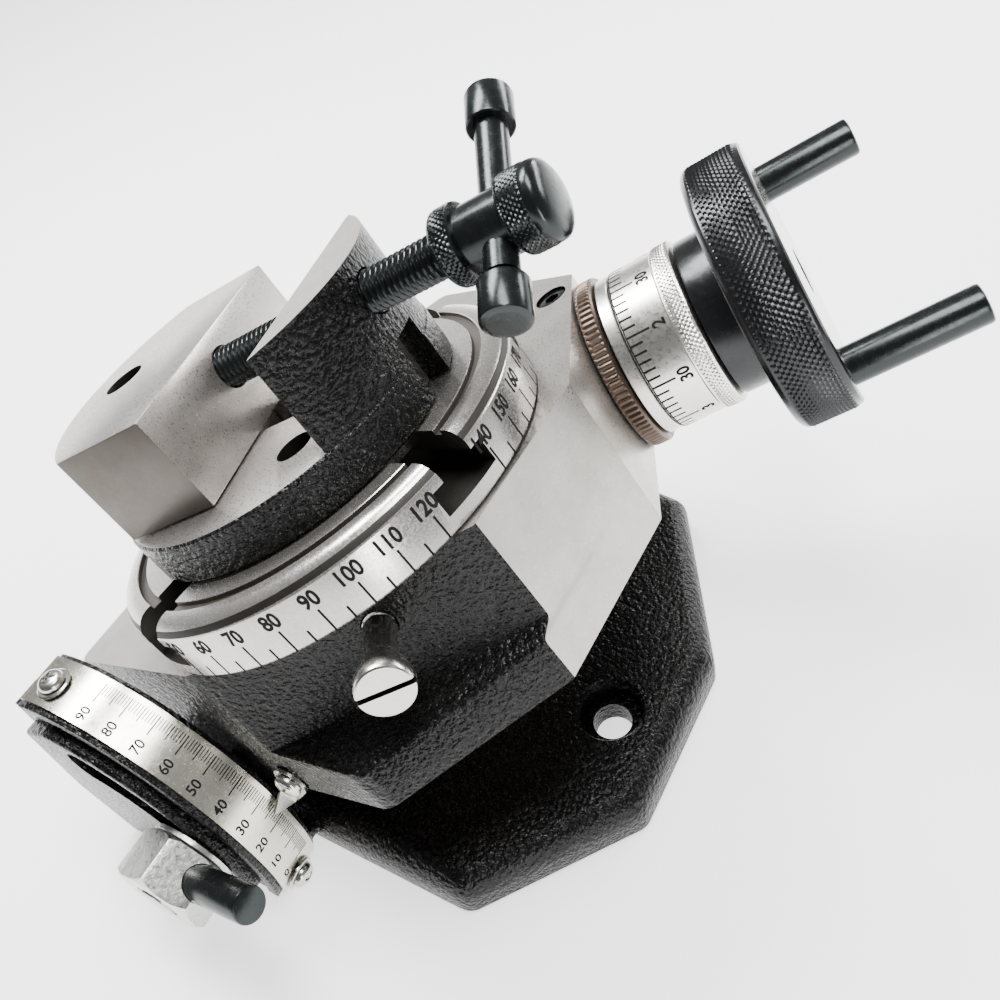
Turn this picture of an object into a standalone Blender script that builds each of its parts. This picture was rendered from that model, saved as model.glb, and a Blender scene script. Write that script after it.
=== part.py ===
"""Small tilting rotary table with a round vise on it.

Units in the constants are millimetres; meshes are made in metres, +Z up.
Row frame: the base stands on Z = 0, and the origin lies straight below the
table's axis when the table is level.  Here the body is shown tilted by TILT
about the hinge pin, as the tilt scale reads.
"""
import math

import bpy
import bmesh
from mathutils import Matrix, Vector

for _o in list(bpy.data.objects):
    bpy.data.objects.remove(_o, do_unlink=True)

MM = 0.001
GAP = 0.3

# ---- main sizes (mm) -------------------------------------------------------
TILT = 24.5                      # tilt of the body as modelled, degrees
PIVOT_X, PIVOT_Z = -44.3, 11.12  # hinge pin, runs along Y
BODY_H = 28.8                    # casting height, flange underside to top
PIVOT_DOWN = 26.93               # hinge pin below the body's top face
BASE_TOP = 8.95
TABLE_R, TABLE_Z0, TABLE_Z1 = 37.5, 0.3, 10.3
QUAD_R_IN, QUAD_R_OUT = 28.5, 30.7
PLATE_R0, PLATE_R1 = 31.0, 31.5
QUAD_A0, QUAD_A1 = -20.0, 110.0
SCALE_ZERO = -8.2                # angle of the scale's zero about the pin
STUD_R, STUD_ANG = 20.4, -8.7    # clamp stud about the pin, in the body
WORM_DIR = 30.0                  # worm shaft's direction in plan, degrees
WORM_SIDE = 27.475               # shaft axis to table axis
WORM_Z = -15.67
MODULE, TEETH = 0.625, 72
LEAD = math.pi * MODULE
VISE_DIR = 20.5                  # vise screw's direction in plan, degrees
VISE_AXIS_Z = 27.9

BASE_OUTLINE = [(-50.5, -37.8), (17.5, -37.8), (38.2, -12.1), (38.2, 19.65),
                (18.8, 53.2), (-20.8, 59.5), (-50.5, 29.8)]
BODY_TOP = [(-43, -37.8), (-3.6, -37.8), (38.2, -8.8), (38.2, 19.65),
            (18.8, 53.2), (-20.8, 59.5), (-43, 37.3)]
BODY_FOOT = [(-43, -37.8), (17.5, -37.8), (38.2, -12.1), (38.2, 19.65),
             (18.8, 53.2), (-20.8, 59.5), (-43, 37.3)]


# ---- materials -------------------------------------------------------------
def material(name, rgb, metallic, rough):
    m = bpy.data.materials.new(name)
    m.use_nodes = True
    b = m.node_tree.nodes["Principled BSDF"]
    b.inputs["Base Color"].default_value = (*rgb, 1)
    b.inputs["Metallic"].default_value = metallic
    b.inputs["Roughness"].default_value = rough
    return m


BLACK = (0.02, 0.021, 0.022)
IRON = (0.62, 0.58, 0.52)
NICKEL = (0.6, 0.56, 0.48)
ZINC = (0.75, 0.74, 0.7)
OXIDE = (0.05, 0.055, 0.055)
STEEL = (0.55, 0.55, 0.54)
BROWN = (0.2, 0.12, 0.07)
BRONZE = (0.6, 0.38, 0.16)


# ---- shape helpers: each gives a temporary object in its local frame --------
def link(name, bm):
    bmesh.ops.recalc_face_normals(bm, faces=bm.faces)
    me = bpy.data.meshes.new(name)
    bm.to_mesh(me)
    bm.free()
    ob = bpy.data.objects.new(name, me)
    bpy.context.scene.collection.objects.link(ob)
    return ob


def loft(rings, closed=False):
    """Skin a list of rings (equal point counts); end rings become caps."""
    bm = bmesh.new()
    rows = [[bm.verts.new(Vector(p) * MM) for p in r] for r in rings]
    n = len(rows[0])
    pairs = list(zip(rows, rows[1:]))
    if closed:
        pairs.append((rows[-1], rows[0]))
    for a, b in pairs:
        for i in range(n):
            j = (i + 1) % n
            bm.faces.new((a[i], a[j], b[j], b[i]))
    if not closed:
        bm.faces.new(rows[0])
        bm.faces.new(rows[-1])
    return link("tmp", bm)


def prism(poly, h0, h1, plane="XY"):
    def at(p, h):
        return {"XY": (p[0], p[1], h), "XZ": (p[0], h, p[1]), "YZ": (h, p[0], p[1])}[plane]
    return loft([[at(p, h0) for p in poly], [at(p, h1) for p in poly]])


def box(x0, x1, y0, y1, z0, z1):
    return prism([(x0, y0), (x1, y0), (x1, y1), (x0, y1)], z0, z1)


def circle(r, n, cx=0.0, cy=0.0, a0=0.0):
    return [(cx + r * math.cos(math.radians(a0) + 2 * math.pi * i / n),
             cy + r * math.sin(math.radians(a0) + 2 * math.pi * i / n)) for i in range(n)]


def lathe(profile, n, hollow=False):
    """Turn (r, z) points about Z.  Solid: first and last point lie on the axis."""
    bm = bmesh.new()
    rows = []
    for r, z in profile:
        if r < 1e-6:
            rows.append([bm.verts.new((0, 0, z * MM))])
        else:
            rows.append([bm.verts.new((r * MM * math.cos(2 * math.pi * i / n),
                                       r * MM * math.sin(2 * math.pi * i / n), z * MM)) for i in range(n)])
    pairs = list(zip(rows, rows[1:]))
    if hollow:
        pairs.append((rows[-1], rows[0]))
    for a, b in pairs:
        for i in range(n):
            j = (i + 1) % n
            if len(a) == 1:
                bm.faces.new((a[0], b[j], b[i]))
            elif len(b) == 1:
                bm.faces.new((a[i], a[j], b[0]))
            else:
                bm.faces.new((a[i], a[j], b[j], b[i]))
    return link("tmp", bm)


def rod(r, z0, z1, n=16, chamfer=0.0):
    c = chamfer
    if c:
        return lathe([(0, z0), (r - c, z0), (r, z0 + c), (r, z1 - c), (r - c, z1), (0, z1)], n)
    return lathe([(0, z0), (r, z0), (r, z1), (0, z1)], n)


def tube(r0, r1, z0, z1, n=20):
    return lathe([(r0, z0), (r1, z0), (r1, z1), (r0, z1)], n, hollow=True)


def moved(ob, matrix):
    ob.data.transform(matrix)
    if matrix.to_3x3().determinant() < 0:
        ob.data.flip_normals()
    return ob


def place(x, y, z):
    return Matrix.Translation(Vector((x, y, z)) * MM)


def turn(deg, axis):
    return Matrix.Rotation(math.radians(deg), 4, axis)


ALONG_Y = turn(-90, "X")                       # local Z becomes +Y
ALONG_X = turn(90, "Y")                        # local Z becomes +X


def boolean(ob, other, op):
    mod = ob.modifiers.new("b", "BOOLEAN")
    mod.solver = "EXACT"
    mod.operation = op
    mod.object = other
    bpy.context.view_layer.update()
    dg = bpy.context.evaluated_depsgraph_get()
    me = bpy.data.meshes.new_from_object(ob.evaluated_get(dg))
    ob.modifiers.clear()
    bm = bmesh.new()
    bm.from_mesh(me)
    bmesh.ops.remove_doubles(bm, verts=bm.verts, dist=0.000002)
    bm.to_mesh(me)
    bm.free()
    old = ob.data
    ob.data = me
    bpy.data.meshes.remove(old)
    bpy.data.objects.remove(other, do_unlink=True)
    return ob


def cut(ob, *tools):
    for t in tools:
        boolean(ob, t, "DIFFERENCE")
    return ob


def join(ob, *others):
    for t in others:
        boolean(ob, t, "UNION")
    return ob


def empty(name, parent, matrix):
    e = bpy.data.objects.new(name, None)
    bpy.context.scene.collection.objects.link(e)
    e.empty_display_size = 0.01
    e.parent = parent
    e.matrix_basis = matrix
    return e


def node(name, ob, parent, rgb, metallic=1.0, rough=0.35, at=None):
    ob.name = name
    ob.data.name = name
    ob.parent = parent
    if at is not None:
        ob.matrix_basis = at
    ob.data.materials.clear()
    ob.data.materials.append(material(name, rgb, metallic, rough))
    ob.data.shade_smooth()
    ob.data.set_sharp_from_angle(angle=math.radians(32))
    return ob


def inset(poly, d):
    """Move each side of a counter-clockwise convex outline inwards by d."""
    out = []
    n = len(poly)
    for i in range(n):
        a, b, c = Vector(poly[i - 1]), Vector(poly[i]), Vector(poly[(i + 1) % n])
        u, v = (b - a).normalized(), (c - b).normalized()
        nu, nv = Vector((-u.y, u.x)), Vector((-v.y, v.x))
        k = d / (1 + nu.dot(nv))
        p = b + (nu + nv) * k
        out.append((p.x, p.y))
    return out


def about_pin(r, deg, row=True):
    """Point at radius r and angle deg about the hinge pin, in XZ."""
    cz = PIVOT_Z if row else -PIVOT_DOWN
    return (PIVOT_X + r * math.cos(math.radians(deg)), cz + r * math.sin(math.radians(deg)))


def sector(r0, r1, a0, a1, step=5.0, row=True):
    k = max(2, int(round((a1 - a0) / step)))
    outer = [about_pin(r1, a0 + (a1 - a0) * i / k, row) for i in range(k + 1)]
    if r0 <= 0:
        return outer + [(PIVOT_X, PIVOT_Z if row else -PIVOT_DOWN)]
    inner = [about_pin(r0, a1 - (a1 - a0) * i / k, row) for i in range(k + 1)]
    return outer + inner


# ---- frames ------------------------------------------------------------------
base_frame = empty("base_frame", None, Matrix.Identity(4))
tilt_axis = empty("tilt_axis", None, place(PIVOT_X, 0, PIVOT_Z) @ turn(-TILT, "Y"))
body_frame = empty("body_frame", tilt_axis, place(-PIVOT_X, 0, PIVOT_DOWN))
hw = math.radians(WORM_DIR)
H = Vector((math.cos(hw), math.sin(hw), 0))
L = Vector((-math.sin(hw), math.cos(hw), 0))
U = Vector((0, 0, 1))
WORM = Matrix((L, U, H)).transposed().to_4x4()
WORM.translation = (L * WORM_SIDE + U * WORM_Z) * MM
worm_axis = empty("worm_axis", body_frame, WORM)
table_axis = empty("table_axis", body_frame, Matrix.Identity(4))
vise_frame = empty("vise_frame", table_axis, turn(VISE_DIR, "Z"))
vise_axis = empty("vise_axis", vise_frame, place(0, 0, VISE_AXIS_Z) @ ALONG_X)


# ---- base casting --------------------------------------------------------------
def lug(y0, y1):
    top = [about_pin(6.0, a) for a in range(0, 181, 15)]
    return prism([(PIVOT_X + 6.0, 2.0)] + top + [(PIVOT_X - 6.0, 2.0)], y0, y1, "XZ")


base = loft([[(x, y, 0.0) for x, y in BASE_OUTLINE],
             [(x, y, 4.8) for x, y in BASE_OUTLINE],
             [(x, y, 7.7) for x, y in inset(BASE_OUTLINE, 0.9)],
             [(x, y, BASE_TOP) for x, y in inset(BASE_OUTLINE, 2.2)]])
join(base, lug(-36.0, -27.0), lug(20.0, 29.0))
web = prism([(-50.5, 0.0), about_pin(29.8, -21.5)] +
            [about_pin(29.6, a) for a in range(-15, 106, 10)] +
            [about_pin(29.6, 109.5), (-57.6, 38.0), (-57.0, 14.0)], -49.5, -44.5, "XZ")
flange = prism([(x, max(z, 0.0)) for x, z in sector(QUAD_R_IN, QUAD_R_OUT, QUAD_A0, QUAD_A1)],
               -50.1, -39.1, "XZ")
pad = prism([(-50.5, 0.2), (-24.6, 0.2), about_pin(26.4, -24.0)] +
            [about_pin(26.4, a) for a in range(-15, 100, 12)] +
            [(-56.4, 33.0), (-56.6, 14.0)], -52.0, -49.0, "XZ")
foot_a = box(-50.5, -30.0, -45.5, -37.0, 0.0, 8.5)
foot_b = box(-31.0, -16.3, -45.5, -37.0, 0.0, 2.2)
join(base, web, flange, pad, foot_a, foot_b)
slot = prism(sector(16.1, 24.7, STUD_ANG, STUD_ANG + 90, 9.0), -56, -42, "XZ")
ends = [prism(circle(4.3, 14, *about_pin(STUD_R, STUD_ANG + k)), -56.5, -42.5, "XZ") for k in (0, 90)]
cut(base, slot, *ends)
cut(base, prism(circle(6.4, 22, PIVOT_X, PIVOT_Z), -27.0, 20.0, "XZ"),
    prism(circle(4.15, 16, PIVOT_X, PIVOT_Z), -37.2, 30.2, "XZ"))
for hx, hy in ((25.7, 2.0), (-22.0, 2.0)):
    cut(base, moved(rod(3.5, -1, 10, 16), place(hx, hy, 0)),
        moved(rod(5.75, 4.6, 10.5, 18), place(hx, hy, 0)))
SCREW_ANGLES = {"lower": SCALE_ZERO - 9.0, "upper": SCALE_ZERO + 106.0}


def radial(deg, y):
    """Frame at the pin whose local Z points out at angle deg, at depth y."""
    return place(PIVOT_X, y, PIVOT_Z) @ turn(90 - deg, "Y")


for a in SCREW_ANGLES.values():
    cut(base, moved(rod(1.5, 26.6, 33, 16), radial(a, -45.0)))
node("base_casting", base, base_frame, BLACK, 0.0, 0.45)

plate = prism(sector(PLATE_R0, PLATE_R1, -19.5, 110.0, 4.0), -49.3, -39.9, "XZ")
for a in SCREW_ANGLES.values():
    cut(plate, moved(rod(1.5, 30, 33, 16), radial(a, -45.0)))
node("tilt_scale_plate", plate, base_frame, NICKEL, 1.0, 0.3)
for key, a in SCREW_ANGLES.items():
    node("scale_washer_" + key, tube(1.55, 3.0, 31.8, 32.2, 14), base_frame, ZINC, 1.0, 0.25, radial(a, -45.0))
    screw = lathe([(0, 27.0), (1.2, 27.0), (1.2, 32.5), (2.6, 32.5), (2.6, 33.1), (2.1, 33.7), (1.2, 34.0), (0, 34.0)], 12)
    cut(screw, box(-1.3, 1.3, -0.22, 0.22, 33.2, 35), box(-0.22, 0.22, -1.3, 1.3, 33.1, 35))
    node("scale_screw_" + key, screw, base_frame, ZINC, 1.0, 0.25, radial(a, -45.0))

node("hinge_pin", rod(3.95, -35.7, 28.7, 24, 0.6), base_frame, STEEL, 1.0, 0.35,
     place(PIVOT_X, 0, PIVOT_Z) @ ALONG_Y)

# ---- tilting body ----------------------------------------------------------------
PX, PZ = PIVOT_X, -PIVOT_DOWN
body = loft([[(x, y, 0.0) for x, y in BODY_TOP],
             [(x, y, -19.1) for x, y in BODY_TOP],
             [(x, y, -20.7) for x, y in BODY_FOOT],
             [(x, y, -BODY_H) for x, y in BODY_FOOT]])
cut(body, prism(circle(6.4, 22, PX, PZ), -36.4, -26.6, "XZ"),
    prism(circle(6.4, 22, PX, PZ), 19.6, 29.4, "XZ"))
join(body, prism(circle(6.0, 20, PX, PZ), -26.7, 19.7, "XZ"))
stud_x, stud_z = about_pin(STUD_R, STUD_ANG, row=False)
join(body, prism([(stud_x - 5.3, -21.5), (stud_x + 5.3, -21.5), (stud_x + 5.3, -28.5), (stud_x - 5.3, -28.5)],
                 -44.2, -37.0, "XZ"),
     prism(circle(5.3, 18, stud_x, stud_z), -44.2, -38.1, "XZ"))
cut(body, prism(circle(4.15, 16, PX, PZ), -27.5, 20.5, "XZ"),
    prism(circle(4.15, 16, stud_x, stud_z), -45.0, -36.4, "XZ"))
cut(body, rod(12.3, -9.5, 1, 32), rod(24.0, -30, -8.5, 36))
cut(body, moved(rod(6.2, -14, 14, 18), WORM), moved(rod(7.3, 13.5, 60, 20), WORM),
    moved(rod(4.15, -22.2, 0, 16), WORM))
LOCK = place(0, 0, -7.5) @ turn(-45, "Z") @ ALONG_X
cut(body, moved(rod(2.8, 9, 34, 20), LOCK))
cut(body, moved(rod(3.0, -10.6, 1, 20), place(17.5, 47.0, 0)))
POINTER_X, POINTER_Z = -5.5, -26.4
cut(body, prism(circle(1.5, 14, POINTER_X, POINTER_Z), -39, -32.0, "XZ"))
node("body_casting", body, body_frame, BLACK, 0.0, 0.45)

node("tilt_lock_stud", rod(3.9, -62.5, -38.4, 24, 0.5), body_frame, STEEL, 1.0, 0.35,
     place(stud_x, 0, stud_z) @ ALONG_Y)
node("tilt_lock_washer", tube(4.35, 7.5, -53.2, -52.3, 16), body_frame, ZINC, 1.0, 0.3,
     place(stud_x, 0, stud_z) @ ALONG_Y)
lock_axis = empty("lock_axis", body_frame, place(stud_x, 0, stud_z))
AF = 15.0
nut = prism(circle(AF / 2 / math.cos(math.pi / 6), 6, 0, 0), -62.0, -53.5, "XZ")
nut = boolean(nut, moved(lathe([(0, -62.1), (7.5, -62.1), (9.2, -60.9), (9.2, -53.4), (0, -53.4)], 36), ALONG_Y), "INTERSECT")
cut(nut, prism(circle(4.2, 16), -63, -52, "XZ"),
    moved(rod(3.1, 5.2, 20, 16), place(0, -56.9, 0) @ ALONG_X))
node("tilt_lock_nut", nut, lock_axis, ZINC, 1.0, 0.4)
node("lock_lever", rod(2.95, 5.6, 23.1, 28, 0.35), lock_axis, OXIDE, 0.9, 0.35, place(0, -56.9, 0) @ ALONG_X)

# pointer: a screwed tab bent over the scale into a triangle
tri_r = 32.3
half = math.degrees(2.5 / tri_r)
hull = circle(3.1, 16, POINTER_X, POINTER_Z)
e1, e2 = about_pin(tri_r + 0.2, SCALE_ZERO - half, False), about_pin(tri_r + 0.2, SCALE_ZERO + half, False)


def convex(points):
    pts = sorted(set(points))

    def chain(seq):
        out = []
        for p in seq:
            while len(out) > 1 and ((out[-1][0] - out[-2][0]) * (p[1] - out[-2][1])
                                    - (out[-1][1] - out[-2][1]) * (p[0] - out[-2][0])) <= 0:
                out.pop()
            out.append(p)
        return out
    lo, hi = chain(pts), chain(pts[::-1])
    return lo[:-1] + hi[:-1]


pointer = prism(convex(hull + [e1, e2]), -38.6, -38.1, "XZ")
tri = loft([[(-2.4, -38.2, r), (2.4, -38.2, r), (0.15, -42.2, r), (-0.15, -42.2, r)] for r in (tri_r, tri_r + 0.5)])
join(pointer, moved(tri, place(PX, 0, PZ) @ turn(90 - SCALE_ZERO, "Y")))
cut(pointer, prism(circle(1.5, 14, POINTER_X, POINTER_Z), -40, -37, "XZ"))
node("pointer", pointer, body_frame, ZINC, 1.0, 0.2)
pscrew = lathe([(0, -33.0), (1.2, -33.0), (1.2, -38.9), (2.4, -38.9), (2.4, -39.5), (1.8, -40.1), (0, -40.2)], 12)
cut(pscrew, box(-1.2, 1.2, -0.22, 0.22, -41, -39.6), box(-0.22, 0.22, -1.2, 1.2, -41, -39.5))
node("pointer_screw", pscrew, body_frame, ZINC, 1.0, 0.2, place(POINTER_X, 0, POINTER_Z) @ ALONG_Y)

lock = lathe([(0, 12.7), (1.6, 12.7), (2.3, 13.6), (2.3, 30.0), (2.6, 30.4), (2.6, 37.4), (4.3, 42.2), (4.3, 43.8),
              (3.9, 44.3), (0, 44.3)], 20)
cut(lock, box(-6, 6, -0.5, 0.5, 43.2, 46))
node("table_lock_screw", lock, body_frame, ZINC, 1.0, 0.2, LOCK)

sset = rod(2.7, -8.4, -0.4, 20, 0.3)
cut(sset, prism(circle(1.5, 6), -3.2, 1))
node("sleeve_set_screw", sset, body_frame, OXIDE, 0.9, 0.4, place(17.5, 47.0, 0))

# ---- worm shaft and handwheel -------------------------------------------------------
bush = lathe([(4.2, 14.3), (7.0, 14.3), (7.0, 46.7), (14.3, 46.7), (14.7, 47.1), (14.7, 49.0), (4.2, 49.0)], 26, hollow=True)
node("worm_bush", bush, worm_axis, ZINC, 1.0, 0.3)
node("take_up_ring", lathe([(7.3, 43.2), (15.4, 43.2), (15.8, 43.6), (15.8, 46.1), (15.5, 46.4), (7.3, 46.4)], 26, hollow=True),
     worm_axis, BROWN, 0.6, 0.45)

W_OUT, W_ROOT, W_HALF = 5.3, 4.2, 5.0
mid, amp = (W_OUT + W_ROOT) / 2, (W_OUT - W_ROOT) / 2
segs, per = 16, 5


def thread_row(h):
    fade = min(1.0, max(0.0, (W_HALF - abs(h)) / 0.7))
    row = []
    for i in range(segs):
        th = 2 * math.pi * i / segs
        phase = 2 * math.pi * (h / LEAD) - (th - math.pi)
        r = W_ROOT + fade * (mid - W_ROOT + amp * math.cos(phase))
        row.append((r * math.cos(th), r * math.sin(th), h))
    return row


count = int(round(2 * W_HALF / LEAD * per))
rows = [thread_row(-W_HALF + 2 * W_HALF * i / count) for i in range(count + 1)]


def ring(r, z, n=segs):
    return [(r * math.cos(2 * math.pi * i / n), r * math.sin(2 * math.pi * i / n), z) for i in range(n)]


shaft = loft([ring(3.4, -21.7), ring(3.9, -21.2), ring(3.9, -5.4), ring(W_ROOT, -5.2)] + rows +
             [ring(W_ROOT, 5.2), ring(3.9, 5.4), ring(3.9, 77.0), ring(3.4, 77.5)])
node("worm_shaft", shaft, worm_axis, STEEL, 1.0, 0.3)

dial = lathe([(9.3, 49.3), (14.5, 49.3), (14.85, 49.6), (14.85, 57.0), (15.2, 57.3), (15.2, 60.5), (14.8, 60.8),
              (9.3, 60.8)], 32, hollow=True)
node("graduated_dial", dial, worm_axis, ZINC, 1.0, 0.3)
wheel = lathe([(4.15, 49.6), (9.0, 49.6), (9.0, 61.1), (13.8, 61.1), (14.2, 61.5), (14.2, 67.0), (22.6, 67.0),
               (23.7, 67.6), (24.06, 68.7), (24.06, 76.0), (23.7, 77.2), (22.6, 77.8), (4.15, 77.8)], 32, hollow=True)
HANDLE_RHO, HANDLE_PSI = 19.5, 31.0
handles = []
for k, tip in ((0, 94.0), (1, 99.3)):
    psi = math.radians(HANDLE_PSI + 180 * k)
    at = place(HANDLE_RHO * math.cos(psi), HANDLE_RHO * math.sin(psi), 0)
    cut(wheel, moved(rod(3.5, 71.5, 79, 20), at))
    handles.append((k, tip, at))
SET_D = 64.0
set_at = place(0, 0, SET_D) @ turn(-90, "X")
cut(wheel, moved(rod(1.75, 3.0, 16, 16), set_at))
node("handwheel", wheel, worm_axis, BLACK, 0.4, 0.3)
for k, tip, at in handles:
    h = lathe([(0, 71.8), (3.25, 71.8), (3.25, tip - 0.9), (2.9, tip - 0.3), (2.2, tip), (0, tip)], 16)
    node("handle_pin_%d" % (k + 1), h, worm_axis, OXIDE, 0.9, 0.25, at)
hset = rod(1.5, 4.5, 13.6, 16, 0.2)
cut(hset, prism(circle(0.85, 6), 11.6, 15))
node("handwheel_set_screw", hset, worm_axis, OXIDE, 0.9, 0.35, set_at)

# ---- rotary table ----------------------------------------------------------------------
SLOT0 = -6.7
table = lathe([(0, TABLE_Z1), (35.4, TABLE_Z1), (36.6, 9.95), (37.3, 9.2), (37.5, 8.4), (37.5, 0.6), (37.2, 0.3),
               (12.0, 0.3), (12.0, -11.9), (8.0, -11.9), (8.0, -19.2), (5.0, -19.2), (5.0, -27.6), (4.6, -28.0),
               (0, -28.0)], 44)
for k in range(4):
    s = turn(SLOT0 + 90 * k, "Z")
    cut(table, moved(box(22.5, 40, -3.2, 3.2, 6.5, 11.5), s), moved(box(22.9, 40, -5.5, 5.5, 2.6, 6.8), s))
cut(table, rod(5.0, 0.0, 11.5, 18))
clamp_at = [(11.0, -14.0), (11.0, 14.0)]
for u, v in clamp_at:
    cut(table, moved(rod(1.9, 1.2, 11.5, 16), turn(VISE_DIR, "Z") @ place(u, v, 0)))
cut(table, box(6.5, 9.5, -1.5, 1.5, -20.5, -12.6))
node("rotary_table", table, table_axis, IRON, 1.0, 0.35)

# worm wheel: sinusoidal teeth with the worm's lead angle
R_TIP, R_ROOT, W_T = 22.8, 21.7, 7.0
gap_at = math.radians(WORM_DIR + 90)
lead_angle = math.atan(LEAD / (2 * math.pi * 5.0))


def gear_ring(dz):
    twist = dz * math.tan(lead_angle) / 22.5
    n = TEETH * 4
    out = []
    for i in range(n):
        a = 2 * math.pi * i / n
        r = (R_TIP + R_ROOT) / 2 - (R_TIP - R_ROOT) / 2 * math.cos(TEETH * (a - gap_at - twist))
        out.append((r * math.cos(a), r * math.sin(a), WORM_Z + dz))
    return out


gear = loft([gear_ring(-W_T / 2), gear_ring(W_T / 2)])
cut(gear, rod(8.3, -24, -8, 20), box(7.0, 9.8, -1.5, 1.5, -24, -8))
node("worm_wheel", gear, table_axis, BRONZE, 1.0, 0.35)
node("wheel_key", box(6.85, 9.45, -1.2, 1.2, -18.9, -12.95), table_axis, STEEL, 1.0, 0.35)
node("spindle_washer", tube(5.35, 11.5, -20.6, -19.5, 16), table_axis, ZINC, 1.0, 0.35)
snut = prism(circle(16 / 2 / math.cos(math.pi / 6), 6), -26.9, -20.9)
cut(snut, rod(5.25, -28, -20, 18))
node("spindle_nut", snut, table_axis, ZINC, 1.0, 0.35)

# ---- vise ----------------------------------------------------------------------------------
DISC_R, DISC_Z0, DISC_Z1, JAW_TOP = 28.8, 10.6, 17.7, 34.0
vise = lathe([(0, DISC_Z0), (28.5, DISC_Z0), (DISC_R, 10.9), (DISC_R, 17.4), (28.5, DISC_Z1), (0, DISC_Z1)], 44)


def fixed_segment():
    r, g = 28.6, 20.0
    a = math.acos(g / r)
    return [(r * math.cos(-a + 2 * a * i / 20), r * math.sin(-a + 2 * a * i / 20)) for i in range(21)]


join(vise, prism(fixed_segment(), DISC_Z1 - 1.0, JAW_TOP))
cut(vise, box(-24.0, 19.5, -4.0, 4.0, 8, 19.0), box(-25.0, 7.0, -8.0, 8.0, 9, 13.2))
cut(vise, box(24.6, 32, -3.6, 3.6, 9, 21.0), moved(rod(3.55, 15, 34, 16), place(0, 0, VISE_AXIS_Z) @ ALONG_X))
for u, v in clamp_at:
    cut(vise, moved(rod(1.9, 9, 19, 16), place(u, v, 0)), moved(rod(3.1, 14.0, 19, 20), place(u, v, 0)))
node("vise_body", vise, vise_frame, IRON, 1.0, 0.35)
for k, (u, v) in enumerate(clamp_at):
    c = lathe([(0, 2.0), (1.6, 2.0), (1.6, 14.3), (2.8, 14.3), (2.8, 16.9), (2.5, 17.2), (0, 17.2)], 20)
    cut(c, prism(circle(1.4, 6), 15.4, 18))
    node("vise_clamp_screw_%d" % (k + 1), c, vise_frame, OXIDE, 0.9, 0.35, place(u, v, 0))

jaw_slide = empty("jaw_slide", vise_frame, Matrix.Identity(4))


def moving_outline():
    r, side, grip = 28.5, 22.0, -0.5
    a0 = math.pi - math.asin(side / r)
    a1 = math.pi + math.asin(side / r)
    arc = [(r * math.cos(a0 + (a1 - a0) * i / 18), r * math.sin(a0 + (a1 - a0) * i / 18)) for i in range(19)]
    return [(grip, -side), (grip, side)] + arc


jaw = prism(moving_outline(), 18.0, JAW_TOP)
join(jaw, box(-14.0, -3.0, -3.7, 3.7, 13.8, 18.6))
cut(jaw, moved(rod(3.55, -14.5, 5, 16), place(0, 0, VISE_AXIS_Z) @ ALONG_X),
    moved(rod(1.9, 12, 36, 16), place(-19.2, 0, 0)), moved(rod(3.5, 26.0, 36, 16), place(-19.2, 0, 0)))
node("movable_jaw", jaw, jaw_slide, IRON, 1.0, 0.35)
hold = lathe([(0, 11.1), (1.6, 11.1), (1.6, 26.3), (3.2, 26.3), (3.2, 29.4), (2.9, 29.8), (0, 29.8)], 20)
cut(hold, prism(circle(1.5, 6), 27.8, 31))
node("jaw_hold_down_screw", hold, jaw_slide, OXIDE, 0.9, 0.35, place(-19.2, 0, 0))
keeper = box(-24.2, -14.2, -7.5, 7.5, 10.9, 12.9)
cut(keeper, moved(rod(1.9, 9, 15, 16), place(-19.2, 0, 0)))
node("jaw_keeper_plate", keeper, jaw_slide, STEEL, 1.0, 0.35)

BAR_D, BAR_TILT = 49.7, 27.0
vs = lathe([(0, -14.0), (2.9, -14.0), (3.25, -13.5), (3.25, 41.5), (4.9, 41.5), (5.65, 42.2), (5.65, 44.9), (5.35, 45.2),
            (4.6, 45.2), (4.6, 52.5), (5.35, 52.5), (5.7, 52.9), (5.7, 57.2), (5.2, 58.1), (3.6, 58.7), (0, 58.9)], 16)
# the bar's direction: cos(27) across the screw, sin(27) up
BAR = place(0, 0, BAR_D) @ turn(BAR_TILT, "Z") @ turn(-90, "X")
cut(vs, moved(rod(2.7, -12, 12, 16), BAR))
node("vise_screw", vs, vise_axis, OXIDE, 0.9, 0.35)
node("tommy_bar", rod(2.4, -14.3, 21.8, 24, 0.3), vise_axis, OXIDE, 0.9, 0.3, BAR)
for k, (t0, t1, s) in enumerate(((16.8, 23.0, 1), (-15.5, -9.3, -1))):
    cap = lathe([(0, 0), (3.2, 0), (3.5, 0.3), (3.5, 5.5), (2.9, 6.1), (0, 6.2)], 18)
    cut(cap, rod(2.7, -1, 5.2, 16))
    at = place(0, 0, t0) if s > 0 else place(0, 0, t1) @ turn(180, "X")
    node("tommy_cap_%d" % (k + 1), cap, vise_axis, OXIDE, 0.9, 0.3, BAR @ at)

for o in list(bpy.data.objects):
    if o.name.startswith("tmp"):
        bpy.data.objects.remove(o, do_unlink=True)
bpy.context.view_layer.update()
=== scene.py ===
import math

import bpy
import bmesh
from mathutils import Matrix, Vector


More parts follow.
